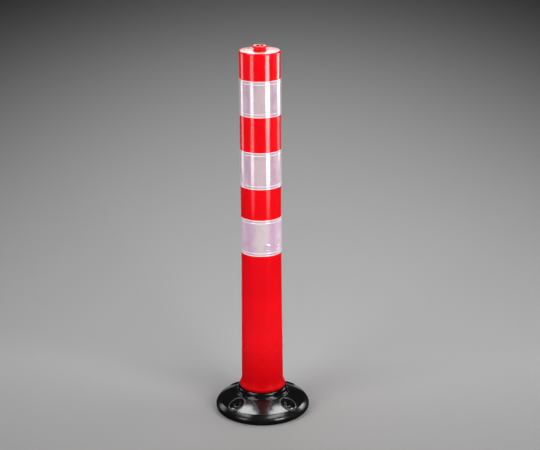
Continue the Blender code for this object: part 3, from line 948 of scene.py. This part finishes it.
def make_steel():
    kinds = (
        ("sleeve", "anchor_sleeve", sleeve_mesh()),
        ("bolt", "foot_bolt", bolt_mesh()),
        ("nut", "foot_nut", nut_mesh()),
        ("washer", "foot_washer", washer_mesh()),
    )
    for i in range(1, 5):
        for name, node, mesh in kinds:
            copy_at(mesh, f"{name}_{i}", f"{node}_{i}")
    make_steel_disc("ring", "clamp_ring", [square(bolt, 4.3 * MM) for bolt in BOLTS])
    make_steel_disc("plate", "backing_plate", bolt_holes())


# ---------------------------------------------------------------- stage, light and camera

FLOOR_RADIUS = 16.0


def make_floor():
    """The floor, in two fans of narrow triangles. Only the one behind the post shows in reflections. Its
    colour is painted light: darker to the sides, lighter towards the back, and painted shadow in front
    of the post.
    """
    n = Nodes("floor")
    place = n.split()
    # Painted light: darker to the sides, lighter towards the back, and painted shadow in front of the
    # post.
    across = n.math("DIVIDE", n.math("SUBTRACT", place["X"], 0.05), 1.5)
    bell = n.math("EXPONENT", n.product(across, across, -1.0))
    near = n.spread(place["Y"], -0.4, 0.25, 0.57, 1.0)
    far = n.spread(place["Y"], 0.3, 5.5, 0.675, 1.0)
    color = n.mix(n.product(bell, near, far), FLOOR_DARK, FLOOR_LIGHT)
    n.set(Base_Color=color, Roughness=0.9, Specular_IOR_Level=0.1)
    for name, start, end, seen in (("floor", 120, 420, False), ("floor_behind", 60, 120, True)):
        bm = bmesh.new()
        middle = bm.verts.new((0.0, 0.0, 0.0))
        count = (end - start) // 6 + 1
        edge = [bm.verts.new((x, y, 0.0)) for x, y in arc((0, 0), FLOOR_RADIUS, start, end, count)]
        for first, second in zip(edge, edge[1:]):
            bm.faces.new((middle, first, second))
        floor = finish_mesh(name, bm, n.material)
        floor.visible_glossy = seen


def area_light(name, azimuth, distance, height, size, radiance, seen_in, aim=None):
    """A softbox that acts on one kind of ray only, "glossy" or "diffuse".

    azimuth is from the camera's side towards the right, in degrees. It faces the post unless aimed.
    """
    light = bpy.data.lights.new(name, "AREA")
    light.shape = "RECTANGLE"
    light.size, light.size_y = size
    light.energy = radiance * math.pi * size[0] * size[1]
    obj = add_object(name, light)
    a = math.radians(azimuth)
    obj.location = (distance * math.sin(a), -distance * math.cos(a), height)
    facing = Vector(aim or (0, 0, height)) - obj.location
    obj.rotation_euler = facing.to_track_quat("-Z", "Y").to_euler()
    obj.visible_camera = False
    obj.visible_diffuse = seen_in == "diffuse"
    obj.visible_glossy = seen_in == "glossy"


STRIP_DISTANCE = 1.35
# Upright strips: name, azimuth, width, radiance, and parts as (bottom, top, share of the radiance).
STRIPS = (
    ("strip_front_right", 41, 0.48, 13.0, ((0.28, 0.60, 1.0), (0.10, 0.28, 0.6), (0.02, 0.10, 0.2))),
    ("strip_front_left", -45, 0.42, 4.6, ((0.28, 0.60, 1.0), (0.10, 0.28, 0.8), (0.02, 0.10, 0.3))),
    ("strip_back_right", 118, 0.52, 8.0, ((0.34, 0.60, 1.0), (0.16, 0.34, 0.25))),
    ("strip_back_left", -116, 0.46, 2.6, ((0.34, 0.60, 1.0), (0.12, 0.34, 0.8))),
)
# Cards behind the post on both sides, facing almost straight down: part, distance, size.
OVERHEAD_AZIMUTH = 128
OVERHEAD_HEIGHT = 4.0
OVERHEAD_RADIANCE = 13.0
OVERHEAD_AIM = 0.97
OVERHEAD_CARDS = (("near", 1.0, (0.45, 0.6)), ("far", 1.85, (0.85, 1.1)))


def make_lights():
    """Strips and cards only show in reflections. The keys, the overhead box and the fills only light."""
    for name, azimuth, width, radiance, parts in STRIPS:
        for i, (bottom, top, share) in enumerate(parts):
            area_light(f"{name}_{i}", azimuth, STRIP_DISTANCE, (bottom + top) / 2,
                       (width, top - bottom), radiance * share, "glossy")
    area_light("key_right", 38, 2.4, 1.4, (1.6, 1.6), 7.9, "diffuse", (0, 0, 0.5))
    area_light("key_left", -48, 2.4, 1.4, (1.6, 1.6), 6.2, "diffuse", (0, 0, 0.5))
    area_light("overhead", 180, 1.5, 3.0, (2.9, 3.1), 1.75, "diffuse", (0, 1.5, 0))
    for side, turn in (("right", 1), ("left", -1)):
        for part, distance, size in OVERHEAD_CARDS:
            azimuth, reach = turn * OVERHEAD_AZIMUTH, OVERHEAD_AIM * distance
            a = math.radians(azimuth)
            area_light(f"overhead_{part}_{side}", azimuth, distance, OVERHEAD_HEIGHT, size,
                       OVERHEAD_RADIANCE, "glossy", (reach * math.sin(a), -reach * math.cos(a), 0))
    area_light("high_right", 40, 2.0, 2.0, (1.7, 0.5), 8.0, "glossy", (0, 0, 0))
    area_light("high_left", -58, 2.0, 2.0, (1.5, 0.5), 6.0, "glossy", (0, 0, 0))
    area_light("fill_right", 95, 2.4, 0.6, (1.6, 1.2), 5.0, "diffuse", (0, 0, 0.4))
    area_light("fill_left", -95, 2.4, 0.6, (1.6, 1.2), 2.0, "diffuse", (0, 0, 0.4))
    area_light("back_card", 180, 2.6, 2.03, (1.2, 0.95), 11.5, "glossy")
    world = bpy.data.worlds.new("studio")
    world.use_nodes = True
    world.node_tree.nodes["Background"].inputs["Color"].default_value = (0.010, 0.010, 0.010, 1.0)
    bpy.context.scene.world = world


def make_camera():
    """A long lens above the post, pitched down and rolled slightly."""
    pitch, roll = 18.06, 0.335
    camera = bpy.data.cameras.new("camera")
    camera.lens = 95.3
    camera.sensor_width = 36.0
    camera.clip_end = 60.0
    obj = add_object("camera", camera)
    obj.location = (0.0224, -2.677, 1.265)
    obj.rotation_euler = (math.radians(90 - pitch), math.radians(roll), 0.0)
    bpy.context.scene.camera = obj


make_upper_tube()
make_lower_tube()
make_plug()
for band_name in ("upper", "middle", "lower"):
    make_band(band_name, creased=band_name == "lower")
make_base()
make_collar()
make_steel()
make_floor()
make_lights()
make_camera()
bpy.context.scene.view_settings.view_transform = "Standard"
